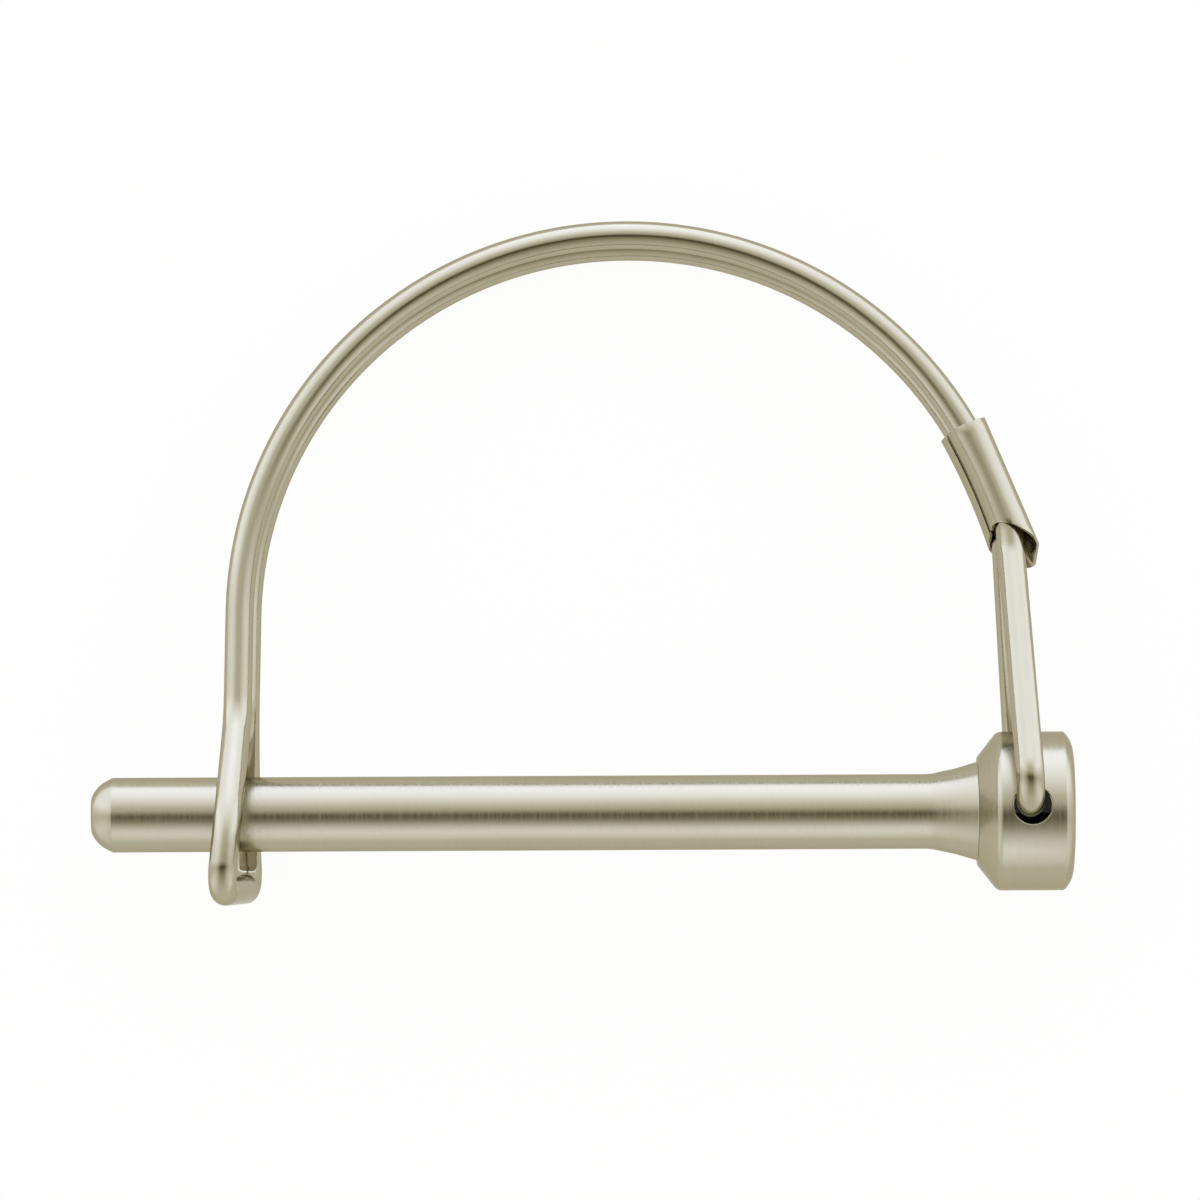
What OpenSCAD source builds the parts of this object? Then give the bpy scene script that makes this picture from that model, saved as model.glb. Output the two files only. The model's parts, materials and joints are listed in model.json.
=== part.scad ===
// Locking pin with a hinged wire bail, lying on its side as it comes to rest.
// Lengths are in millimetres and angles in degrees.
// Everything is drawn about the cross hole in the head: the pin runs along X with its tip
// at minus X, the bail arches over plus Y, and the hole runs along Z. The last step lays
// the whole part down on the three places where the wire meets the table.

/* [Pin] */
// Diameter of the straight shank
shank_d = 6.35; // [4:0.05:12]
// Length of the straight shank
shank_len = 69.35; // [30:0.05:150]
// Length of the rounded lead at the tip
tip_len = 1.8; // [0.5:0.1:4]
// Diameter of the flat on the tip
tip_flat_d = 3; // [1:0.1:6]
// How far the lead at the tip bulges past a straight chamfer
tip_bulge = 0.27; // [0.02:0.01:0.6]
// Length of the hollow flare between shank and shoulder
flare_len = 4.1; // [2:0.05:12]
// Diameter at the wide end of the flare
flare_d = 8.4; // [6:0.1:14]
// How far the flare is hollowed below a straight cone
flare_hollow = 0.08; // [0.02:0.01:0.6]
// Diameter at the foot of the shoulder cone
shoulder_d = 9.2; // [6:0.1:16]
// Length of the shoulder cone, up to where it would meet the head
shoulder_len = 1.68; // [0.5:0.02:6]
// Rounding between the shoulder cone and the head
shoulder_round = 1.1; // [0.2:0.1:3]
// Diameter of the head
head_d = 13.5; // [8:0.1:30]
// Length of the head after the shoulder cone
head_len = 6.44; // [4:0.02:20]
// Length of the rounded lead at the head's end
head_lead_len = 0.8; // [0.3:0.05:2]
// Diameter of the flat on the head's end
head_flat_d = 10; // [4:0.1:20]
// How far the lead at the head's end bulges past a straight chamfer
head_bulge = 0.22; // [0.02:0.01:0.6]
// Clearance of the wire in the head's cross hole, across the hole
hole_clearance = 0.75; // [0.1:0.05:2]
// Distance of the cross hole from the end of the head
hole_setback = 3.7; // [2:0.02:12]
// Share of the wire's play in the hole by which the pin is drawn back toward its head
play_back_share = 0.5; // [0:0.05:0.65]
// Share of that play, at the mouths of the hole, which the pin's roll takes up
play_roll_share = 0.57; // [0:0.01:0.65]

/* [Wire bail] */
// Diameter of the spring wire
wire_d = 2.4; // [1:0.1:4]
// Gap between the two strands along the arch
strand_gap = 0.06; // [0.02:0.01:0.5]
// Roll of the pair of strands about their own run
strand_roll_deg = 13.5; // [0:0.5:30]
// Radius of the arch on the eye's side, midway between the strands
arch_radius = 32.7; // [15:0.05:80]
// Radius of the arch on the head's side, as a share of that
arch_head_share = 1.002; // [0.9:0.001:1.1]
// Straight run at the top of the arch, between the two radii
arch_top_run = 0.2; // [0.2:0.1:10]
// Distance of the arch's centre from the cross hole, toward the tip
arch_centre_back = 33.9; // [15:0.05:80]
// Height of the arch's centre above the pin's axis
arch_centre_rise = 16.65; // [5:0.05:40]
// Angle of the arch, above the pin's axis, where it runs straight into the ferrule
arch_end_deg = 22.6; // [0:0.1:45]
// Outward lean of the straight run from the arch down to the eye
run_lean_deg = 1.05; // [0:0.05:4]
// Length of the straight run from the arch's end to the bend of the legs
neck_len = 5.3; // [3:0.1:20]
// Roll of the pair of strands at the bend of the legs
neck_roll_deg = 7.5; // [0:0.5:30]
// Bend radius of the legs inside the ferrule
neck_bend_r = 4; // [1.5:0.1:10]
// Distance below that bend at which the legs part
splay_drop = 2.2; // [1.6:0.1:10]
// Bend radius where the legs part
splay_bend_r = 4; // [1.5:0.1:10]
// Distance of the legs' lower corners from the pin's axis, along the cross hole
leg_corner = 9.7; // [6:0.1:20]
// Bend radius of the legs where they turn into the cross hole
leg_bend_r = 2.3; // [1.3:0.1:5]
// Distance between the two wire ends inside the cross hole
leg_end_gap = 3.2; // [0.5:0.1:8]

/* [Eye] */
// Width of the eye between the wire's centre lines
eye_w = 13; // [6:0.1:24]
// Depth of the eye's lowest centre line below the pin's axis
eye_drop = 6.5; // [4:0.1:16]
// How much lower the eye's bottom is at its upper side, and how much higher at the other
eye_dip = 0.76; // [0:0.02:2]
// Height above the pin's axis where the strands part
eye_split = 8.2; // [4:0.1:20]
// Height above the pin's axis where the eye's sides run parallel
eye_side = -1.2; // [-3:0.1:8]
// Bend radius where the strands part
eye_split_r = 7; // [1.5:0.1:12]
// Bend radius at the top of the eye's sides
eye_side_r = 7.5; // [1.5:0.1:12]
// Bend radius under the shank
eye_bottom_r = 2.2; // [1.5:0.1:5]
// Roll of the eye about its own run, at the top of its sides
eye_side_roll_deg = 4.6; // [0:0.1:30]
// Roll of the eye about its own run, at its bottom
eye_bottom_roll_deg = 8.1; // [0:0.1:30]
// Lean of the eye toward the tip
eye_lean_deg = 2.2; // [0:0.1:8]

/* [Ferrule] */
// Sheet thickness of the ferrule
ferrule_sheet = 0.22; // [0.1:0.02:1]
// Clearance between the ferrule and the wire
ferrule_clearance = 0.27; // [0.22:0.01:0.6]
// How far the ferrule's rounds stand beyond the strands, on each side of the pair
ferrule_spread = 0.3; // [0.2:0.05:1]
// Shift of the ferrule toward the inside of the arch
ferrule_shift = 0.1; // [0:0.005:0.5]
// Run of the ferrule above the arch's end
ferrule_above = 4; // [2:0.1:5]
// Run of the ferrule below the arch's end, in its middle
ferrule_below = 6.8; // [2:0.1:7]
// Slant of the lower end, longer on the outside of the arch
ferrule_slant_deg = 42; // [20:1:60]
// Slant of the lower end, longer on the side toward the table
ferrule_back_slant_deg = 14; // [0:1:16]
// Width of the open seam on the inside of the arch
seam_gap = 0.8; // [0.2:0.1:2]
// Shift of the seam away from the table
seam_shift = 0.45; // [0:0.05:1]

/* [Hidden] */
$fn = 64;

// Steps in each rounding of the pin's outline
round_steps = 10;
// Share of the wire's diameter by which every cut runs past what it cuts
overrun_share = 1;
overrun = wire_d * overrun_share;

wire_r = wire_d / 2;
// Straight runs are a hair thinner than the bends, and each runs a little way into them
straight_thin_share = 0.008;
straight_r = wire_r * (1 - straight_thin_share);
lap_share = 0.08;
lap = wire_r * lap_share;
shank_r = shank_d / 2;
head_r = head_d / 2;

// Cross hole, and how far its play lets the pin stand off the wire ends
hole_d = wire_d + hole_clearance;
hole_play = hole_clearance / 2;
pin_back = hole_play * play_back_share;
pin_roll_deg = asin(hole_play * play_roll_share / head_r);

// Stations of the pin along X, from the head's end to the tip
x_head = hole_setback + pin_back;
x_corner = x_head - head_len;
x_shoulder = x_corner - shoulder_len;
x_flare = x_shoulder - flare_len;
x_lead = x_flare - shank_len;
x_tip = x_lead - tip_len;

// Strand offsets: half along the hole, half across the arch
strand_half = wire_r + strand_gap / 2;
strand_side = strand_half * cos(strand_roll_deg);
strand_out = strand_half * sin(strand_roll_deg);

function unit(v) = v / norm(v);
function on_circle(centre, r, a) = [centre[0] + r * cos(a), centre[1] + r * sin(a)];

// Points of a circular rounding, from one angle to another
function rounding(centre, r, a0, a1) =
    [for (i = [0 : round_steps]) on_circle(centre, r, a0 + (a1 - a0) * i / round_steps)];

// Points of a shallow arc from a to b, raised by bulge to the left of the straight line
function bowed(a, b, bulge) =
    let (
        half = norm(b - a) / 2,
        r = (half * half / bulge + bulge) / 2,
        left = unit([a[1] - b[1], b[0] - a[0]]),
        left_deg = atan2(left[1], left[0]),
        sweep = asin(half / r)
    )
    rounding((a + b) / 2 - left * (r - bulge), r, left_deg + sweep, left_deg - sweep);

// Outline of the pin: first along the axis, then out from it.
// The shoulder is a cone into the head with a rounded corner.
shoulder_slope = atan2(head_r - shoulder_d / 2, shoulder_len);
shoulder_tan = shoulder_round * tan(shoulder_slope / 2);
shoulder_centre = [x_corner + shoulder_tan, head_r - shoulder_round];

pin_outline = concat(
    [[x_tip, 0]],
    bowed([x_tip, tip_flat_d / 2], [x_lead, shank_r], tip_bulge),
    bowed([x_flare, shank_r], [x_shoulder, flare_d / 2], -flare_hollow),
    [[x_shoulder, shoulder_d / 2]],
    rounding(shoulder_centre, shoulder_round, 90 + shoulder_slope, 90),
    bowed([x_head - head_lead_len, head_r], [x_head, head_flat_d / 2], head_bulge),
    [[x_head, 0]]
);

// Centre line of one strand, from its end in the hole to the bottom of the eye.
// side is 1 for the upper strand and -1 for the lower one.
arch_centre = [-arch_centre_back, arch_centre_rise];
arch_start_deg = 180 - run_lean_deg;
arch_top_deg = 90;
head_arch_r = arch_radius * arch_head_share;
head_arch_centre = arch_centre + [arch_top_run, arch_radius - head_arch_r];
arch_end = concat(on_circle(head_arch_centre, head_arch_r, arch_end_deg), [0]);
out_dir = [cos(arch_end_deg), sin(arch_end_deg), 0];
run_dir = [sin(arch_end_deg), -cos(arch_end_deg), 0];
neck = arch_end + run_dir * neck_len;
splay = neck - unit(neck) * splay_drop;

// Where the straight lines that run into both ends of an arc would meet
function arc_corner(centre, r, a0, a1) = on_circle(centre, r / cos((a0 - a1) / 2), (a0 + a1) / 2);

// Offset of one strand from the middle of the pair
function pair_at(out, roll_deg) = (out * sin(roll_deg) + [0, 0, cos(roll_deg)]) * strand_half;

// Middle of the eye at a height, and a point of the eye beside it
function eye_middle(y) = [
    arch_centre[0] + (arch_radius - (eye_split - arch_centre[1]) * sin(arch_start_deg)) / cos(arch_start_deg)
        - (eye_split - y) * tan(eye_lean_deg),
    y,
    0
];
function eye_point(y, half, roll_deg) = eye_middle(y) + [-sin(roll_deg), 0, cos(roll_deg)] * half;

function strand_points(side) =
    let (out = side * strand_out, across = [side * strand_side])
    [
        [0, 0, side * leg_end_gap / 2],
        [0, 0, side * leg_corner],
        splay + pair_at(out_dir, neck_roll_deg) * side,
        neck + pair_at(out_dir, neck_roll_deg) * side,
        concat(arc_corner(head_arch_centre, head_arch_r + out, arch_top_deg, arch_end_deg), across),
        concat(arc_corner(arch_centre, arch_radius + out, arch_start_deg, arch_top_deg), across),
        eye_point(eye_split, side * strand_half, strand_roll_deg),
        eye_point(eye_side, side * eye_w / 2, eye_side_roll_deg),
        eye_point(-eye_drop - side * eye_dip, side * eye_w / 2, eye_bottom_roll_deg)
    ];
function strand_bends(side) =
    let (out = side * strand_out)
    [
        0,
        leg_bend_r,
        splay_bend_r,
        neck_bend_r,
        head_arch_r + out,
        arch_radius + out,
        eye_split_r,
        eye_side_r,
        eye_bottom_r
    ];
function reversed(list) = [for (i = [len(list) - 1 : -1 : 0]) list[i]];

wire_points = concat(strand_points(1), reversed(strand_points(-1)));
wire_bends = concat(strand_bends(1), reversed(strand_bends(-1)));

// Geometry of one bend of a path
function heading(p, i) = unit(p[i + 1] - p[i]);
function turn_deg(p, i) = acos(heading(p, i - 1) * heading(p, i));
function tangent_len(p, b, i) =
    (i == 0 || i == len(p) - 1) ? 0 : b[i] * tan(turn_deg(p, i) / 2);
function inward(p, i) =
    unit(heading(p, i) - heading(p, i - 1) * (heading(p, i - 1) * heading(p, i)));
function bend_start(p, b, i) = p[i] - heading(p, i - 1) * tangent_len(p, b, i);
function bend_centre(p, b, i) = bend_start(p, b, i) + inward(p, i) * b[i];
function straight_len(p, b, i) =
    norm(p[i + 1] - p[i]) - tangent_len(p, b, i) - tangent_len(p, b, i + 1);

// Matrix that carries the axes to the given directions and the origin to a point
function placed(x, y, z, at) = [
    [x[0], y[0], z[0], at[0]],
    [x[1], y[1], z[1], at[1]],
    [x[2], y[2], z[2], at[2]],
    [0, 0, 0, 1]
];
function any_across(d) =
    unit(cross(d, abs(d[2]) < abs(d[0]) ? [0, 0, 1] : [1, 0, 0]));

// How the part lies: on the lower strand's leg bend, arch and eye.
// The floor is a plane through the lowest points of those three arcs, one wire radius below.
// Bends are counted along the wire: the upper strand first, then the lower one from its eye.
upper_arch_i = 5;
upper_bottom_i = 8;
lower_eye_i = 10;
lower_arch_i = 12;
lower_leg_i = 16;

// Point of a bend's centre line that lies furthest in a direction
function furthest(i, dir) =
    let (
        d = heading(wire_points, i - 1),
        n = inward(wire_points, i)
    )
    bend_centre(wire_points, wire_bends, i) + unit(d * (dir * d) + n * (dir * n)) * wire_bends[i];
function plane_up(up) =
    let (
        leg = furthest(lower_leg_i, -up),
        arch = furthest(lower_arch_i, -up),
        eye = furthest(lower_eye_i, -up)
    )
    unit(cross(leg - eye, arch - eye));

// How far the pin reaches in a direction
function pin_reach(dir) =
    max([for (q = pin_outline) dir[0] * q[0] + norm([dir[1], dir[2]]) * q[1]]);

// A first guess of the tilt, then three rounds of settling
first_tilt_deg = 6;
up = plane_up(plane_up(plane_up([0, -sin(first_tilt_deg), cos(first_tilt_deg)])));
along = unit([1, 0, 0] - up * up[0]);
across = cross(up, along);
floor_level = up * furthest(lower_leg_i, -up) - wire_r;
centre_x = (pin_reach(along) - pin_reach(-along)) / 2;
centre_y = across * (furthest(upper_arch_i, across) + furthest(upper_bottom_i, -across)) / 2;

module lie_down() {
    multmatrix([
        [along[0], along[1], along[2], -centre_x],
        [across[0], across[1], across[2], -centre_y],
        [up[0], up[1], up[2], -floor_level],
        [0, 0, 0, 1]
    ])
        children();
}

// One straight run and one bend of round wire
module straight(p, b, i) {
    d = heading(p, i);
    s = any_across(d);
    multmatrix(placed(s, cross(d, s), d, p[i] + d * (tangent_len(p, b, i) - lap)))
        cylinder(r = straight_r, h = straight_len(p, b, i) + lap * 2);
}

module bend(p, b, i) {
    d = heading(p, i - 1);
    n = inward(p, i);
    multmatrix(placed(-n, d, cross(-n, d), bend_centre(p, b, i)))
        rotate_extrude(angle = turn_deg(p, i))
            translate([b[i], 0])
                circle(r = wire_r);
}

// Turned pin with its cross hole
module pin() {
    color([0.72, 0.70, 0.62])
        lie_down()
            difference() {
                rotate([0, 90, 0])
                    rotate_extrude()
                        polygon([for (q = pin_outline) [q[1], q[0]]]);
                translate([pin_back, 0, 0])
                    rotate([pin_roll_deg, 0, 0])
                        translate([0, 0, -head_r - overrun])
                            cylinder(d = hole_d, h = head_d + overrun * 2);
            }
}

// Double-strand bail, one continuous wire
module wire_bail() {
    last = len(wire_points) - 1;
    color([0.75, 0.74, 0.68])
        lie_down()
            union() {
                for (i = [0 : last - 1])
                    if (straight_len(wire_points, wire_bends, i) > -lap)
                        straight(wire_points, wire_bends, i);
                for (i = [1 : last - 1])
                    bend(wire_points, wire_bends, i);
            }
}

// Rounded sleeve section around both strands
module around_strands(r) {
    reach = strand_half + ferrule_spread;
    for (side = [-1, 1])
        translate([0, side * reach])
            circle(r = r);
    translate([-r, -reach])
        square([r * 2, reach * 2]);
}

// Crimped ferrule with an open seam and a slanted lower end
module ferrule() {
    roll_deg = (strand_roll_deg + neck_roll_deg) / 2;
    flat_dir = out_dir * cos(roll_deg) - [0, 0, sin(roll_deg)];
    pair_dir = out_dir * sin(roll_deg) + [0, 0, cos(roll_deg)];
    bore_r = wire_r + ferrule_clearance;
    wall_r = bore_r + ferrule_sheet;
    blank_len = ferrule_above + ferrule_below * 2;
    cutter = blank_len * 2;
    color([0.70, 0.69, 0.64])
        lie_down()
            multmatrix(placed(flat_dir, pair_dir, run_dir, arch_end - out_dir * ferrule_shift))
                difference() {
                    translate([0, 0, -ferrule_above])
                        linear_extrude(height = blank_len)
                            difference() {
                                around_strands(wall_r);
                                around_strands(bore_r);
                                translate([-wall_r - overrun, seam_shift - seam_gap / 2])
                                    square([wall_r + overrun, seam_gap]);
                            }
                    translate([0, 0, ferrule_below])
                        rotate([-ferrule_back_slant_deg, -ferrule_slant_deg, 0])
                            translate([-cutter / 2, -cutter / 2, 0])
                                cube(cutter);
                }
}

pin();
wire_bail();
ferrule();
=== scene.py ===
"""Locking pin: a turned steel pin with a hinged bail of doubled spring wire, lying on its side."""
import json
from math import asin, atan2, cos, pi, radians, sin, sqrt, tan

import bmesh
import bpy
from mathutils import Matrix, Vector


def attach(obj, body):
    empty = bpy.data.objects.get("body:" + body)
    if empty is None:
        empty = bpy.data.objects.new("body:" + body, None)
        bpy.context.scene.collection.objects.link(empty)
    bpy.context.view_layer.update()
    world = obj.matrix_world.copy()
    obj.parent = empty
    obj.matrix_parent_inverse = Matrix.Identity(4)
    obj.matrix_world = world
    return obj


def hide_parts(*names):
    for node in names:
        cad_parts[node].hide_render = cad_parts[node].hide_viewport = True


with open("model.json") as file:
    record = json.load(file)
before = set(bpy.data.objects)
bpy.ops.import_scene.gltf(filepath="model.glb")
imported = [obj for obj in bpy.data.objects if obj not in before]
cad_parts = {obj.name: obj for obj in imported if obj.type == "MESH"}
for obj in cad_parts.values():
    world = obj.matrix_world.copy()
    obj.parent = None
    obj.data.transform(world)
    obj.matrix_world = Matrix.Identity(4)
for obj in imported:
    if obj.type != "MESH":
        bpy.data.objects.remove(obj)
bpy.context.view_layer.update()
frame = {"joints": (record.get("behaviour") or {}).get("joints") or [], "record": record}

MM = 0.001
MERGE = 1e-7

# Bench frame: origin in the cross hole, X along the pin toward its head, Z along the hole
hinge = frame["joints"][0]
shank = frame["record"]["mounts"][0]
BENCH_X = -Vector(shank["axis"]).normalized()
BENCH_Z = -Vector(hinge["axis"]).normalized()
BENCH_Y = BENCH_Z.cross(BENCH_X).normalized()


def placed(x, y, z, at):
    """Matrix that carries the axes to three directions and the origin to a point."""
    return Matrix.Translation(at) @ Matrix((x, y, z)).transposed().to_4x4()


BENCH = placed(BENCH_X, BENCH_Y, BENCH_Z, Vector(hinge["pos_m"]))
BENCH_TURN = BENCH.to_3x3()

# Pin
SHANK_R = shank["dims"]["r_mm"] * MM
SHANK_LEN = shank["dims"]["length_mm"] * MM
TIP_LEN = 1.8 * MM
TIP_FLAT_R = 1.5 * MM
TIP_CONE_LEN = 0.6 * MM
TIP_CONE_DROP = 0.306 * MM
TIP_BULGE = 0.159 * MM
FLARE_LEN = 4.1 * MM
FLARE_R = 4.2 * MM
FLARE_HOLLOW = 0.08 * MM
FLARE_EASE = 4 * MM
SHOULDER_R = 4.6 * MM
SHOULDER_LEN = 1.68 * MM
SHOULDER_ROUND = 0.8 * MM
HEAD_R = 6.75 * MM
HEAD_LEN = 6.44 * MM
HEAD_LEAD_LEN = 0.8 * MM
HEAD_FLAT_R = 5.0 * MM
HEAD_BULGE = 0.22 * MM
HOLE_R = 1.575 * MM
HOLE_SETBACK = 3.7 * MM
HOLE_MOUTH = 0.18 * MM
HOLE_MOUTH_TURN = radians(72)
EDGE_BREAK = 0.06 * MM

# Wire bail
WIRE_R = 1.2 * MM
WIRE_END_ROUND = 0.25 * MM
STRAND_HALF = 1.23 * MM
STRAND_ROLL = radians(13.5)
ARCH_R = 32.7 * MM
ARCH_CENTRE = Vector((-33.9, 16.65, 0)) * MM
ARCH_START = radians(178.95)
ARCH_TOP = radians(90)
ARCH_END = radians(22.6)
ARCH_TOP_RUN = 0.2 * MM
HEAD_SIDE_SHARE = 1.002
HEAD_SIDE_R = ARCH_R * HEAD_SIDE_SHARE
NECK_LEN = 5.3 * MM
NECK_ROLL = radians(7.5)
LEG_END = 1.6 * MM
LEG_CORNER = 9.7 * MM
SPLAY_DROP = 2.2 * MM
EYE_HALF = 6.5 * MM
EYE_DROP = 6.5 * MM
EYE_DIP = 0.76 * MM
EYE_SPLIT = 8.2 * MM
EYE_SIDE = -1.2 * MM
EYE_LEAN = radians(2.2)
SIDE_ROLL = radians(4.6)
FOOT_ROLL = radians(8.1)
LEG_BEND = 2.3 * MM
SPLAY_BEND = 4 * MM
NECK_BEND = 4 * MM
SPLIT_BEND = 7 * MM
SIDE_BEND = 7.5 * MM
BOTTOM_BEND = 2.2 * MM

# Ferrule
SHEET = 0.22 * MM
SHEET_EDGE = 0.105 * MM
BORE_PLAY = 0.27 * MM
LOBE_PLAY = 0.3 * MM
WALL_R = WIRE_R + BORE_PLAY + SHEET
LOBE = STRAND_HALF + LOBE_PLAY
FERRULE_ROLL = (STRAND_ROLL + NECK_ROLL) / 2
FERRULE_SHIFT = 0.1 * MM
FERRULE_ABOVE = 4.0 * MM
FERRULE_BELOW = 6.8 * MM
FERRULE_SLANT = radians(42)
FERRULE_BACK_SLANT = radians(14)
SEAM_GAP = 0.8 * MM
SEAM_SHIFT = 0.45 * MM
SEAM_PINCH = 0.28 * MM

# Fineness of the meshes
PIN_SIDES = 192
HOLE_SIDES = 96
HOLE_MOUTH_STEPS = 8
WIRE_SIDES = 48
FERRULE_STEPS = 24
STEP_TURN = radians(5)
BEND_STEP = 1.05 * MM
LEAST_FEED = 0.035 * MM

# Angles past which an edge counts as sharp
CREASE = radians(35)
PIN_CREASE = radians(15)
PIN_CORNER = radians(12)
SHEET_CORNER = radians(40)


class Pen:
    """Draws an outline in the XY plane as a chain of edges, from straight lines and arcs."""

    def __init__(self, bm, start):
        self.bm = bm
        self.tip = bm.verts.new((*start, 0))

    def line(self, x, y):
        made = bmesh.ops.extrude_vert_indiv(self.bm, verts=[self.tip])
        self.tip = made["verts"][0]
        self.tip.co = (x, y, 0)

    def arc(self, x, y, turn):
        steps = max(2, round(abs(turn) / STEP_TURN))
        made = bmesh.ops.spin(self.bm, geom=[self.tip], cent=(x, y, 0), axis=(0, 0, 1),
                              angle=turn, steps=steps)
        self.tip = next(g for g in made["geom_last"] if isinstance(g, bmesh.types.BMVert))

    def bow(self, x, y, bulge):
        """Shallow arc to a point, its middle raised by bulge to the left of the straight line."""
        chord = Vector((x, y)) - self.tip.co.xy
        r = (chord.length_squared / bulge / 4 + bulge) / 2
        left = Vector((-chord.y, chord.x)).normalized()
        centre = self.tip.co.xy + chord / 2 - left * (r - bulge)
        self.arc(centre.x, centre.y, -2 * asin(chord.length / r / 2))


def new_rim(made):
    """Vertices and leading edges of what an extrusion or a spin has made."""
    verts = {g for g in made if isinstance(g, bmesh.types.BMVert)}
    edges = [g for g in made if isinstance(g, bmesh.types.BMEdge) and verts.issuperset(g.verts)]
    return list(verts), edges


def sharp_edges(bm, least):
    return [e for e in bm.edges if e.is_manifold and e.calc_face_angle() > least]


def round_edges(bm, edges, offset, segments=2):
    bmesh.ops.bevel(bm, geom=edges, offset=offset, segments=segments, profile=0.5,
                    affect="EDGES", material=-1, clamp_overlap=True)


def piece(name, bm, matrix):
    """Turns a bmesh into an object of the scene, in the row frame, with smooth shading up to a crease."""
    bmesh.ops.transform(bm, matrix=matrix, verts=bm.verts[:])
    mesh = bpy.data.meshes.new(name)
    bm.to_mesh(mesh)
    bm.free()
    mesh.shade_smooth()
    mesh.set_sharp_from_angle(angle=CREASE)
    made = bpy.data.objects.new(name, mesh)
    bpy.context.scene.collection.objects.link(made)
    return made


# The pin is drawn back and rolled a little, within the wire's play in the hole
PLAY = HOLE_R - WIRE_R
BACK_SHARE = 0.5
ROLL_SHARE = 0.57
PIN_BACK = BACK_SHARE * PLAY
PIN_ROLL = asin(ROLL_SHARE * PLAY / HEAD_R)
PIN = BENCH @ Matrix.Translation((PIN_BACK, 0, 0)) @ Matrix.Rotation(PIN_ROLL, 4, "X")


def pin_outline(bm):
    """Half section of the pin, from the middle of its tip to the middle of its head's end."""
    x_head = HOLE_SETBACK
    x_corner = x_head - HEAD_LEN
    x_shoulder = x_corner - SHOULDER_LEN
    x_flare = x_shoulder - FLARE_LEN
    x_lead = x_flare - SHANK_LEN
    x_tip = x_lead - TIP_LEN

    pen = Pen(bm, (x_tip, 0))
    pen.line(x_tip, TIP_FLAT_R)
    pen.bow(x_lead - TIP_CONE_LEN, SHANK_R - TIP_CONE_DROP, TIP_BULGE)
    pen.line(x_lead, SHANK_R)

    # The hollow flare starts flatter than its chord, and its start is eased
    rise = atan2(FLARE_R - SHANK_R, FLARE_LEN) - 4 * FLARE_HOLLOW / FLARE_LEN
    x_ease = x_flare - FLARE_EASE * tan(rise / 2)
    pen.line(x_ease, SHANK_R)
    pen.arc(x_ease, SHANK_R + FLARE_EASE, rise)
    pen.bow(x_shoulder, FLARE_R, -FLARE_HOLLOW)
    pen.line(x_shoulder, SHOULDER_R)

    slope = atan2(HEAD_R - SHOULDER_R, SHOULDER_LEN)
    x_round = x_corner + SHOULDER_ROUND * tan(slope / 2)
    pen.line(x_round - SHOULDER_ROUND * sin(slope), HEAD_R - SHOULDER_ROUND * (1 - cos(slope)))
    pen.arc(x_round, HEAD_R - SHOULDER_ROUND, -slope)
    pen.line(x_head - HEAD_LEAD_LEN, HEAD_R)
    pen.bow(x_head, HEAD_FLAT_R, HEAD_BULGE)
    pen.line(x_head, 0)


def cross_hole_drill():
    """Drill for the cross hole, with rounded mouths that follow the head's own curve."""
    bm = bmesh.new()
    bmesh.ops.create_circle(bm, segments=HOLE_SIDES, radius=HOLE_R)
    rim = bm.edges[:]

    def ring(radius, depth):
        made = bmesh.ops.extrude_edge_only(bm, edges=rim)["geom"]
        verts, rim[:] = new_rim(made)
        for v in verts:
            out = Vector((v.co.x, v.co.y)).normalized() * radius
            v.co = (out.x, out.y, sqrt(HEAD_R ** 2 - out.y ** 2) - depth)

    for i in range(HOLE_MOUTH_STEPS + 1):
        turn = HOLE_MOUTH_TURN * i / HOLE_MOUTH_STEPS
        ring(HOLE_R + HOLE_MOUTH * (1 - cos(turn)), HOLE_MOUTH * (1 - sin(turn)))

    # The last ring carries the mouth's slope on, out of the head
    ring(HOLE_R + HOLE_MOUTH * (1 - cos(HOLE_MOUTH_TURN) + sin(HOLE_MOUTH_TURN)),
         HOLE_MOUTH * (1 - sin(HOLE_MOUTH_TURN) - cos(HOLE_MOUTH_TURN)))
    bmesh.ops.edgeloop_fill(bm, edges=rim)
    bmesh.ops.mirror(bm, geom=bm.verts[:] + bm.edges[:] + bm.faces[:], merge_dist=MERGE, axis="Z")
    bmesh.ops.recalc_face_normals(bm, faces=bm.faces[:])
    return piece("cross_hole_drill", bm, PIN)


def turned_pin():
    bm = bmesh.new()
    pin_outline(bm)
    bmesh.ops.spin(bm, geom=bm.verts[:] + bm.edges[:], cent=(0, 0, 0), axis=(1, 0, 0),
                   angle=2 * pi, steps=PIN_SIDES, use_merge=True)
    bmesh.ops.remove_doubles(bm, verts=bm.verts[:], dist=MERGE)
    bmesh.ops.recalc_face_normals(bm, faces=bm.faces[:])
    round_edges(bm, sharp_edges(bm, PIN_CORNER), EDGE_BREAK)
    made = piece("turned_pin", bm, PIN)

    drill = cross_hole_drill()
    cut = made.modifiers.new("cross_hole", "BOOLEAN")
    cut.operation = "DIFFERENCE"
    cut.solver = "EXACT"
    cut.object = drill
    whole = bpy.data.meshes.new_from_object(made.evaluated_get(bpy.context.evaluated_depsgraph_get()))
    made.modifiers.clear()
    made.data = whole
    whole.name = "turned_pin"
    whole.shade_smooth()
    whole.set_sharp_from_angle(angle=PIN_CREASE)
    bpy.data.objects.remove(drill)
    return made


# At the arch's head side end: the way out of the arch, the way the wire runs on, and across the strands
HEAD_SIDE_CENTRE = ARCH_CENTRE + Vector((ARCH_TOP_RUN, ARCH_R - HEAD_SIDE_R, 0))
OUT = Vector((cos(ARCH_END), sin(ARCH_END), 0))
RUN = Vector((sin(ARCH_END), -cos(ARCH_END), 0))
Z = Vector((0, 0, 1))


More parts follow.
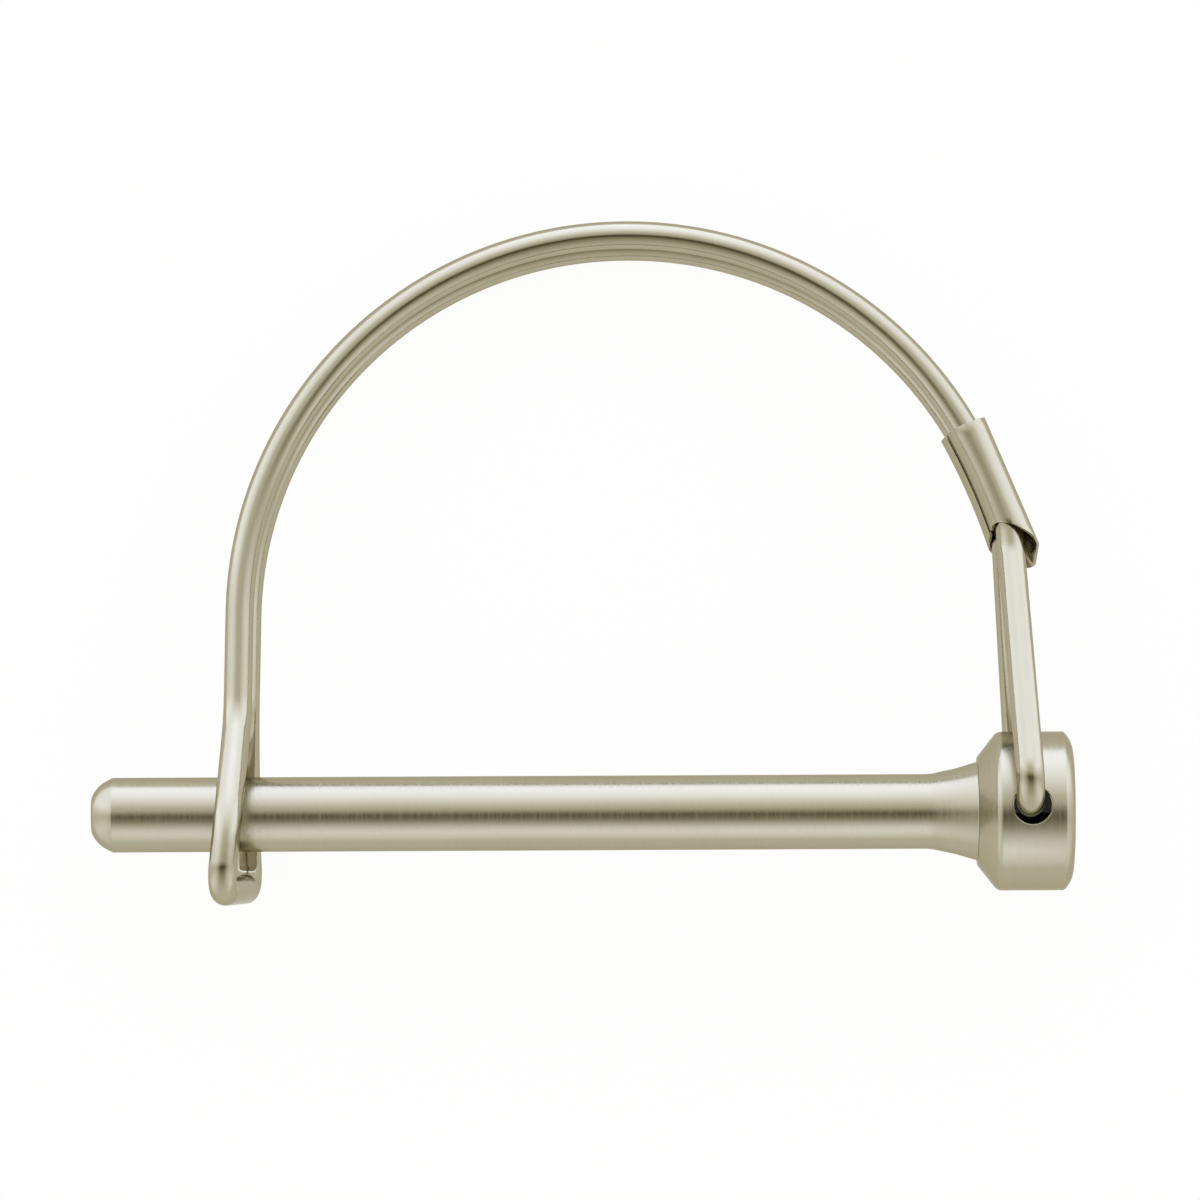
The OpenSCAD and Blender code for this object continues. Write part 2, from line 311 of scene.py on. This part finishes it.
def arc_corner(centre, r, start, end):
    """Where the straight lines that run into both ends of an arc would meet."""
    middle = (start + end) / 2
    return centre + Vector((cos(middle), sin(middle), 0)) * (r / cos((start - end) / 2))


def strand_corners(side):
    """Corners and bend radii of one strand, from its end in the hole to the bottom of the eye."""
    out = side * STRAND_HALF * sin(STRAND_ROLL)
    across = Z * side * STRAND_HALF * cos(STRAND_ROLL)
    neck = HEAD_SIDE_CENTRE + OUT * HEAD_SIDE_R + RUN * NECK_LEN
    neck_pair = (OUT * sin(NECK_ROLL) + Z * cos(NECK_ROLL)) * side * STRAND_HALF
    split_x = ARCH_CENTRE.x + (ARCH_R - (EYE_SPLIT - ARCH_CENTRE.y) * sin(ARCH_START)) / cos(ARCH_START)

    def eye_point(y, half, roll):
        middle = Vector((split_x - (EYE_SPLIT - y) * tan(EYE_LEAN), y, 0))
        return middle + Vector((-sin(roll), 0, cos(roll))) * side * half

    return [
        (Z * side * LEG_END, 0),
        (Z * side * LEG_CORNER, LEG_BEND),
        (neck - neck.normalized() * SPLAY_DROP + neck_pair, SPLAY_BEND),
        (neck + neck_pair, NECK_BEND),
        (arc_corner(HEAD_SIDE_CENTRE, HEAD_SIDE_R + out, ARCH_TOP, ARCH_END) + across, HEAD_SIDE_R + out),
        (arc_corner(ARCH_CENTRE, ARCH_R + out, ARCH_START, ARCH_TOP) + across, ARCH_R + out),
        (eye_point(EYE_SPLIT, STRAND_HALF, STRAND_ROLL), SPLIT_BEND),
        (eye_point(EYE_SIDE, EYE_HALF, SIDE_ROLL), SIDE_BEND),
        (eye_point(-EYE_DROP - side * EYE_DIP, EYE_HALF, FOOT_ROLL), BOTTOM_BEND),
    ]


class Wire:
    """Wire fed straight and bent as on a bench. Each point keeps its place round the wire and its run."""

    def __init__(self, start, heading):
        self.bm = bmesh.new()
        self.strand = self.bm.verts.layers.float_vector.new("strand")
        turn = heading.to_track_quat("Z", "Y").to_matrix().to_4x4()
        bmesh.ops.create_circle(self.bm, segments=WIRE_SIDES, radius=WIRE_R, cap_ends=True)
        for v in self.bm.verts:
            v[self.strand] = (v.co.x / WIRE_R, v.co.y / WIRE_R, 0)
        bmesh.ops.transform(self.bm, matrix=Matrix.Translation(start) @ turn, verts=self.bm.verts[:])
        self.ends = self.bm.edges[:]
        self.ring = self.bm.edges[:]

    def keep(self, made, run):
        verts, self.ring = new_rim(made)
        for v in verts:
            v[self.strand].z += run / MM
        return verts

    def feed(self, step):
        made = bmesh.ops.extrude_edge_only(self.bm, edges=self.ring)["geom"]
        bmesh.ops.translate(self.bm, vec=step, verts=self.keep(made, step.length))

    def bend(self, centre, axis, turn, radius):
        steps = max(2, round(turn / STEP_TURN), round(turn * radius / BEND_STEP))
        for _ in range(steps):
            rim = self.ring + list({v for e in self.ring for v in e.verts})
            made = bmesh.ops.spin(self.bm, geom=rim, cent=centre, axis=axis,
                                  angle=turn / steps, steps=1)["geom_last"]
            self.keep(made, turn * radius / steps)

    def close(self):
        bmesh.ops.edgeloop_fill(self.bm, edges=self.ring)
        self.ends += self.ring
        bmesh.ops.recalc_face_normals(self.bm, faces=self.bm.faces[:])
        round_edges(self.bm, self.ends, WIRE_END_ROUND, segments=3)
        return self.bm


def bail_wire():
    corners = strand_corners(1) + strand_corners(-1)[::-1]
    points = [p for p, _ in corners]
    headings = [(b - a).normalized() for a, b in zip(points, points[1:])]
    wire = Wire(points[0], headings[0])
    at = points[0]
    for (corner, radius), before, after in zip(corners[1:], headings, headings[1:]):
        turn = before.angle(after)
        start = corner - before * radius * tan(turn / 2)
        if (start - at).length > LEAST_FEED:
            wire.feed(start - at)
        inward = (after - before * before.dot(after)).normalized()
        wire.bend(start + inward * radius, before.cross(after).normalized(), turn, radius)
        at = corner + after * radius * tan(turn / 2)
    wire.feed(points[-1] - at)
    return piece("bail_wire", wire.close(), BENCH)


# Ferrule's own frame: X out of the arch, Y from strand to strand, Z along the wire
FLAT = OUT * cos(FERRULE_ROLL) - Z * sin(FERRULE_ROLL)
PAIR = OUT * sin(FERRULE_ROLL) + Z * cos(FERRULE_ROLL)
FERRULE = BENCH @ placed(FLAT, PAIR, RUN, HEAD_SIDE_CENTRE + OUT * (HEAD_SIDE_R - FERRULE_SHIFT))


def crimped_ferrule():
    """Sheet wrapped round both strands, pressed in along its seam and cut at a slant."""
    bm = bmesh.new()
    pen = Pen(bm, (-WALL_R, SEAM_SHIFT - SEAM_GAP / 2))
    pen.line(-WALL_R, -LOBE)
    pen.arc(0, -LOBE, pi)
    pen.line(WALL_R, LOBE)
    pen.arc(0, LOBE, pi)
    pen.line(-WALL_R, SEAM_SHIFT + SEAM_GAP / 2)
    bmesh.ops.translate(bm, vec=(0, 0, -FERRULE_ABOVE), verts=bm.verts[:])
    step = (FERRULE_ABOVE + 2 * FERRULE_BELOW) / FERRULE_STEPS
    rim = bm.edges[:]
    for _ in range(FERRULE_STEPS):
        made = bmesh.ops.extrude_edge_only(bm, edges=rim)["geom"]
        verts, rim = new_rim(made)
        bmesh.ops.translate(bm, vec=(0, 0, step), verts=verts)

    # The wall with the seam is pressed in, most at the middle of the finished length
    middle = (FERRULE_BELOW - FERRULE_ABOVE) / 2
    reach = (FERRULE_BELOW + FERRULE_ABOVE) / 2
    for v in bm.verts:
        share = 1 - ((v.co.z - middle) / reach) ** 2
        v.co.x += SEAM_PINCH * max(0, share) * max(0, -v.co.x / WALL_R)

    slant = Matrix.Rotation(-FERRULE_SLANT, 3, "Y") @ Matrix.Rotation(-FERRULE_BACK_SLANT, 3, "X")
    bmesh.ops.bisect_plane(bm, geom=bm.verts[:] + bm.edges[:] + bm.faces[:],
                           plane_co=(0, 0, FERRULE_BELOW), plane_no=slant @ Z, clear_outer=True)
    bmesh.ops.recalc_face_normals(bm, faces=bm.faces[:])
    bmesh.ops.solidify(bm, geom=bm.faces[:], thickness=SHEET)
    bmesh.ops.recalc_face_normals(bm, faces=bm.faces[:])
    round_edges(bm, sharp_edges(bm, SHEET_CORNER), SHEET_EDGE)
    return piece("crimped_ferrule", bm, FERRULE)


class Paint:
    """A node's output socket. Operators on it add Math nodes; node() adds any other node."""

    def __init__(self, tree, output=None):
        self.tree = tree
        self.output = output

    def node(self, kind, settings=None, inputs=None, output=0):
        made = self.tree.nodes.new("ShaderNode" + kind)
        for name, value in (settings or {}).items():
            setattr(made, name, value)
        for name, value in (inputs or {}).items():
            if isinstance(value, Paint):
                self.tree.links.new(value.output, made.inputs[name])
            else:
                made.inputs[name].default_value = value
        return Paint(self.tree, made.outputs[output] if made.outputs else None)

    def math(self, operation, *values):
        return self.node("Math", {"operation": operation}, dict(enumerate(values)))

    def __add__(self, other):
        return self.math("ADD", self, other)

    def __radd__(self, other):
        return self.math("ADD", other, self)

    def __sub__(self, other):
        return self.math("SUBTRACT", self, other)

    def __rsub__(self, other):
        return self.math("SUBTRACT", other, self)

    def __mul__(self, other):
        return self.math("MULTIPLY", self, other)

    def __rmul__(self, other):
        return self.math("MULTIPLY", other, self)

    def __pow__(self, other):
        return self.math("POWER", self, other)

    def dot(self, direction):
        return self.node("VectorMath", {"operation": "DOT_PRODUCT"}, {0: self, 1: direction}, "Value")

    def parts(self):
        split = self.node("SeparateXYZ", inputs={0: self})
        return [Paint(self.tree, split.output.node.outputs[i]) for i in range(3)]

    def joined(self, x, y, z):
        return self.node("CombineXYZ", inputs={0: x, 1: y, 2: z})

    def noise(self, places, spots, detail=2.0, roughness=0.5):
        """Noise over three coordinates, each with its own number of spots to the unit."""
        where = self.joined(*(place * spot for place, spot in zip(places, spots)))
        return self.node("TexNoise", inputs={
            "Vector": where, "Scale": 1.0, "Detail": detail, "Roughness": roughness}, output="Fac")

    def mixed(self, share, first, second):
        return self.node("Mix", {"data_type": "RGBA"}, {0: share, 6: first, 7: second}, 2)

    def ramp(self, value, low, high):
        return self.node("MapRange", inputs={"Value": value, "From Min": low, "From Max": high})

    def bump(self, height, depth):
        return self.node("Bump", inputs={
            "Strength": 1.0, "Distance": depth, "Height": height}, output="Normal")


def new_paint(owner):
    owner.use_nodes = True
    owner.node_tree.nodes.clear()
    return Paint(owner.node_tree)


def finish_with(paint, kind, surface):
    paint.node(kind, inputs={"Surface": surface})


# Plating
PLATING = (0.45, 0.41, 0.29, 1)
PLATING_DARK = (0.39, 0.352, 0.24, 1)
PLATING_EDGE = (0.68, 0.65, 0.56, 1)
# Painted shade: the near-black colour drawn in the cross hole, how far past the hole's wall it reaches,
# and where it fades out along the wire that enters the hole
HOLE_PAINTED_SHADE = (0.012, 0.011, 0.008, 1)
PAINTED_SHADE_PAST_WALL = 0.02 * MM
WIRE_PAINTED_SHADE_FULL_TO = 5.8 * MM
WIRE_PAINTED_SHADE_GONE_FROM = 7.4 * MM
PIN_ROUGH = 0.25
WIRE_ROUGH = 0.17
FERRULE_ROUGH = 0.22

# Tool marks: spots of noise to the millimetre on three axes, or round and along the wire
MARK_DETAIL = 3.0
NOISE_MEAN = 0.5
RING_SPOTS = (3.2, 0.05, 0.05)
RING_HARDNESS = 0.7
RING_ROUGH = 0.24
RING_DEPTH = 0.004 * MM
PIN_CLOUD_SPOTS = (0.125, 0.5, 0.5)
PIN_GRAIN_SPOTS = (4, 2.5, 2.5)
PIN_GRAIN_ROUGH = 0.06
PIN_GRAIN_SHARE = 0.5
SCORE_SPOTS = (9, 9, 0.15)
SCORE_HARDNESS = 0.6
SCORE_ROUGH = 0.1
SCORE_DEPTH = 0.003 * MM
WIRE_CLOUD_SPOTS = (1, 1, 0.3)
WIRE_GRAIN_SPOTS = (8, 8, 3)
WIRE_GRAIN_ROUGH = 0.08
WIRE_GRAIN_SHARE = 0.6
ROLL_SPOTS = (5, 5, 0.2)
ROLL_HARDNESS = 0.6
ROLL_ROUGH = 0.1
ROLL_DEPTH = 0.003 * MM
FERRULE_CLOUD_SPOTS = (1, 1, 0.5)


def satin_plating(name, pattern, roughness):
    """Pale yellow plating, with painted shade where it is hidden in the hole: black, matt and not
    metallic there.

    pattern gives its tint, how much rougher it is, its relief, and the share that lies outside the
    painted shade of the hole.
    """
    made = bpy.data.materials.new(name)
    paint = new_paint(made)
    tint, rough, relief, outside_painted_shade = pattern(paint)
    plating = paint.mixed(tint, PLATING_DARK, PLATING)
    shader = paint.node("BsdfPrincipled", inputs={
        "Base Color": paint.mixed(outside_painted_shade, HOLE_PAINTED_SHADE, plating),
        "Metallic": outside_painted_shade,
        "Roughness": 1 + (roughness + rough - 1) * outside_painted_shade,
        "Specular Tint": PLATING_EDGE,
        "Normal": relief,
    })
    finish_with(paint, "OutputMaterial", shader)
    return made


def in_frame(paint, matrix):
    """Object coordinates turned into a piece's own frame, in millimetres."""
    back = Matrix.Scale(1 / MM, 4) @ matrix.inverted()
    return paint.node("Mapping", inputs={
        "Vector": paint.node("TexCoord", output="Object"),
        "Location": back.to_translation(),
        "Rotation": back.to_euler(),
        "Scale": (1 / MM, 1 / MM, 1 / MM),
    })


def turning_lines(paint):
    """Fine rings left by the lathe: along the pin on its sides, across it on its end faces."""
    x, y, z = in_frame(paint, PIN).parts()
    radius = (y * y + z * z) ** 0.5
    lines = paint.noise((x + radius, y, z), RING_SPOTS, MARK_DETAIL, RING_HARDNESS)
    cloud = paint.noise((x, y, z), PIN_CLOUD_SPOTS)
    grain = paint.noise((x, y, z), PIN_GRAIN_SPOTS)
    rough = (lines - NOISE_MEAN) * RING_ROUGH + (grain - NOISE_MEAN) * PIN_GRAIN_ROUGH
    relief = paint.bump(lines + grain * PIN_GRAIN_SHARE, RING_DEPTH)
    # Painted shade: inside the cross hole, out to a hair past its wall, the plating is drawn black
    outside_painted_shade = paint.math("GREATER_THAN", (x * x + y * y) ** 0.5, (HOLE_R + PAINTED_SHADE_PAST_WALL) / MM)
    return (cloud + lines) * 0.5, rough, relief, outside_painted_shade


def drawing_lines(paint):
    """Fine scores along the wire, left by the die."""
    strand = paint.node("Attribute", {"attribute_name": "strand"}, output="Vector").parts()
    lines = paint.noise(strand, SCORE_SPOTS, MARK_DETAIL, SCORE_HARDNESS)
    cloud = paint.noise(strand, WIRE_CLOUD_SPOTS)
    grain = paint.noise(strand, WIRE_GRAIN_SPOTS)
    rough = (lines - NOISE_MEAN) * SCORE_ROUGH + (grain - NOISE_MEAN) * WIRE_GRAIN_ROUGH
    relief = paint.bump(lines + grain * WIRE_GRAIN_SHARE, SCORE_DEPTH)
    # Painted shade: the wire is drawn black inside the hole and fades back to plating as it comes out
    # past the mouth
    x, y, z = in_frame(paint, BENCH).parts()
    beside_hole = paint.math("GREATER_THAN", (x * x + y * y) ** 0.5, HOLE_R / MM)
    past_mouth = paint.ramp(paint.math("ABSOLUTE", z), WIRE_PAINTED_SHADE_FULL_TO / MM, WIRE_PAINTED_SHADE_GONE_FROM / MM)
    outside_painted_shade = paint.math("MAXIMUM", beside_hole, past_mouth)
    return (cloud + lines) * 0.5, rough, relief, outside_painted_shade


def rolling_lines(paint):
    """Fine grain of the rolled sheet, along the ferrule."""
    places = in_frame(paint, FERRULE).parts()
    lines = paint.noise(places, ROLL_SPOTS, MARK_DETAIL, ROLL_HARDNESS)
    cloud = paint.noise(places, FERRULE_CLOUD_SPOTS)
    rough = (lines - NOISE_MEAN) * ROLL_ROUGH
    return (cloud + lines) * 0.5, rough, paint.bump(lines, ROLL_DEPTH), 1.0


def dress(made, body, node, material):
    made.data.materials.clear()
    made.data.materials.append(material)
    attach(made, body)
    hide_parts(node)


pin = turned_pin()
dress(pin, "pin", "pin",
      satin_plating("turned_plating", turning_lines, PIN_ROUGH))
dress(bail_wire(), "bail", "wire_bail",
      satin_plating("wire_plating", drawing_lines, WIRE_ROUGH))
dress(crimped_ferrule(), "bail", "ferrule",
      satin_plating("ferrule_plating", rolling_lines, FERRULE_ROUGH))

# Camera, looking down on the part
VIEW_TILT = radians(7.84)
VIEW_ROLL = radians(0.27)
VIEW_DISTANCE = 711 * MM
VIEW_WIDTH = 102.0 * MM
AIM_ALONG = -36.19 * MM
AIM_UP = 18.1 * MM
SENSOR = 36
CLIP_RATIO = 100

VIEW_BACK = BENCH_TURN @ Vector((0, -sin(VIEW_TILT), cos(VIEW_TILT)))
VIEW_UP = BENCH_TURN @ Vector((
    sin(VIEW_ROLL), cos(VIEW_ROLL) * cos(VIEW_TILT), cos(VIEW_ROLL) * sin(VIEW_TILT)))
VIEW_RIGHT = VIEW_UP.cross(VIEW_BACK)
AIM = BENCH @ Vector((AIM_ALONG, AIM_UP * cos(VIEW_TILT), AIM_UP * sin(VIEW_TILT)))


def camera():
    data = bpy.data.cameras.new("camera")
    data.sensor_width = SENSOR
    data.lens = SENSOR * VIEW_DISTANCE / VIEW_WIDTH
    data.clip_start = VIEW_DISTANCE / CLIP_RATIO
    data.clip_end = VIEW_DISTANCE * CLIP_RATIO
    made = bpy.data.objects.new("camera", data)
    made.matrix_world = placed(VIEW_RIGHT, VIEW_UP, VIEW_BACK, AIM + VIEW_BACK * VIEW_DISTANCE)
    bpy.context.scene.collection.objects.link(made)
    bpy.context.scene.camera = made


# Light tent: levels of its walls, over the height above or below the lens, from 0 to 1
GAP_DROP = 0.05
GAP_LEVEL = 0.02
SIDE_BLEND = 0.05
NEAR_WALL = 1.0
NEAR_CURVE = 0.8
FAR_WALL = 2.04
FAR_CURVE = 0.9
FAR_FOOT = 0.94
FAR_FOOT_RISE = 3.1
END_FOOT = 0.95
END_RISE = 0.45
END_RISE_TO = 0.4
ENDS_FROM = 0.25
ENDS_FULL = 0.85

# Dim light is warm: green and blue against red, and their gain with the level
GREEN_SHARE = 0.95
GREEN_GAIN = 0.07
BLUE_SHARE = 0.6
BLUE_GAIN = 0.43


def light_tent():
    """Soft light from all round: pale walls, brightest behind the arch, and a dark gap about the lens."""
    world = bpy.data.worlds.new("light_tent")
    bpy.context.scene.world = world
    paint = new_paint(world)
    direction = paint.node("TexCoord", output="Generated")
    up = direction.dot(VIEW_UP) + GAP_DROP
    height = paint.math("ABSOLUTE", up)
    sideways = paint.math("ABSOLUTE", direction.dot(VIEW_RIGHT))
    far_side = paint.ramp(up, -SIDE_BLEND, SIDE_BLEND)

    near_wall = NEAR_WALL * height ** NEAR_CURVE
    far_foot = paint.math("MINIMUM", FAR_FOOT_RISE * height, FAR_FOOT)
    far_wall = paint.math("MAXIMUM", FAR_WALL * height ** FAR_CURVE, far_foot)
    walls = GAP_LEVEL + near_wall + (far_wall - near_wall) * far_side
    ends = END_FOOT + paint.ramp(height, 0, END_RISE_TO) * (END_RISE + END_RISE * far_side)
    level = walls + (ends - walls) * paint.ramp(sideways, ENDS_FROM, ENDS_FULL)

    green = level * (GREEN_SHARE + level * GREEN_GAIN)
    blue = level * (BLUE_SHARE + level * BLUE_GAIN)
    tent = paint.node("Background", inputs={"Color": paint.joined(level, green, blue), "Strength": 1.0})
    finish_with(paint, "OutputWorld", tent)


# Softbox: a strip low in front of the pin
SOFTBOX_LEN = 240 * MM
SOFTBOX_HEIGHT = 62 * MM
SOFTBOX_DISTANCE = 45 * MM
SOFTBOX_LEAN = radians(63)
SOFTBOX_SPREAD = radians(70)
SOFTBOX_LEVEL = 0.82
SOFTBOX_TINT = (1, 1.11, 1.6)


def softbox(lit):
    """Strip light with a narrowed spread, linked to one piece, which it lights alone."""
    half_spread = SOFTBOX_SPREAD / 2
    narrowing = 1 - half_spread / tan(half_spread)
    data = bpy.data.lights.new("softbox", "AREA")
    data.shape = "RECTANGLE"
    data.size = SOFTBOX_LEN
    data.size_y = SOFTBOX_HEIGHT
    data.spread = SOFTBOX_SPREAD
    data.energy = SOFTBOX_LEVEL * pi * SOFTBOX_LEN * SOFTBOX_HEIGHT * narrowing
    data.color = SOFTBOX_TINT
    away = BENCH_TURN @ Vector((0, -sin(SOFTBOX_LEAN), cos(SOFTBOX_LEAN)))
    at = BENCH @ Vector((AIM_ALONG, 0, 0)) + away * SOFTBOX_DISTANCE
    made = bpy.data.objects.new("softbox", data)
    made.matrix_world = placed(BENCH_X, away.cross(BENCH_X), away, at)
    made.visible_camera = False
    made.light_linking.receiver_collection = bpy.data.collections.new("lit_by_softbox")
    made.light_linking.receiver_collection.objects.link(lit)
    bpy.context.scene.collection.objects.link(made)


# Floor
FLOOR_TONE = (0.93, 0.9, 0.76, 1)
FLOOR_WHITE = (1, 1, 1, 1)
FLOOR_WHITE_SHARE = 0.95
FLOOR_REACH = 3000 * MM
FLOOR_DROP = 0.05 * MM
TABLE_LEFT = -52 * MM
TABLE_RIGHT = 66 * MM
TABLE_FAR = 52 * MM
BACKGROUND_RAYS = ("Is Camera Ray", "Is Glossy Ray", "Is Transmission Ray")


def pale_floor():
    """Nearly white to the camera and in the metal, and matt and pale to all other light."""
    made = bpy.data.materials.new("pale_floor")
    paint = new_paint(made)
    matt = paint.node("BsdfDiffuse", inputs={"Color": FLOOR_TONE})
    white = paint.node("Emission", inputs={"Color": FLOOR_WHITE, "Strength": 1.0})
    straight, mirrored, through = (paint.node("LightPath", output=ray) for ray in BACKGROUND_RAYS)
    shown = paint.math("MAXIMUM", paint.math("MAXIMUM", straight, mirrored), through)
    surface = paint.node("MixShader", inputs={0: shown * FLOOR_WHITE_SHARE, 1: matt, 2: white})
    finish_with(paint, "OutputMaterial", surface)
    return made


def floor_sheet(name, left, right, near, far, level, material):
    bm = bmesh.new()
    bmesh.ops.create_grid(bm, x_segments=1, y_segments=1, size=0.5)
    middle = Matrix.Translation(((left + right) / 2, (near + far) / 2, level))
    made = piece(name, bm, middle @ Matrix.Diagonal((right - left, far - near, 1, 1)))
    made.data.materials.append(material)
    return made


def floor():
    """Pale table top under the part, on a wide floor of the same tone that the metal does not mirror."""
    material = pale_floor()
    floor_sheet("table_top", TABLE_LEFT, TABLE_RIGHT, -FLOOR_REACH, TABLE_FAR, 0, material)
    wide = floor_sheet("wide_floor", -FLOOR_REACH, FLOOR_REACH, -FLOOR_REACH, FLOOR_REACH,
                       -FLOOR_DROP, material)
    wide.visible_glossy = False


camera()
light_tent()
softbox(pin)
floor()
bpy.context.scene.view_settings.view_transform = "Standard"
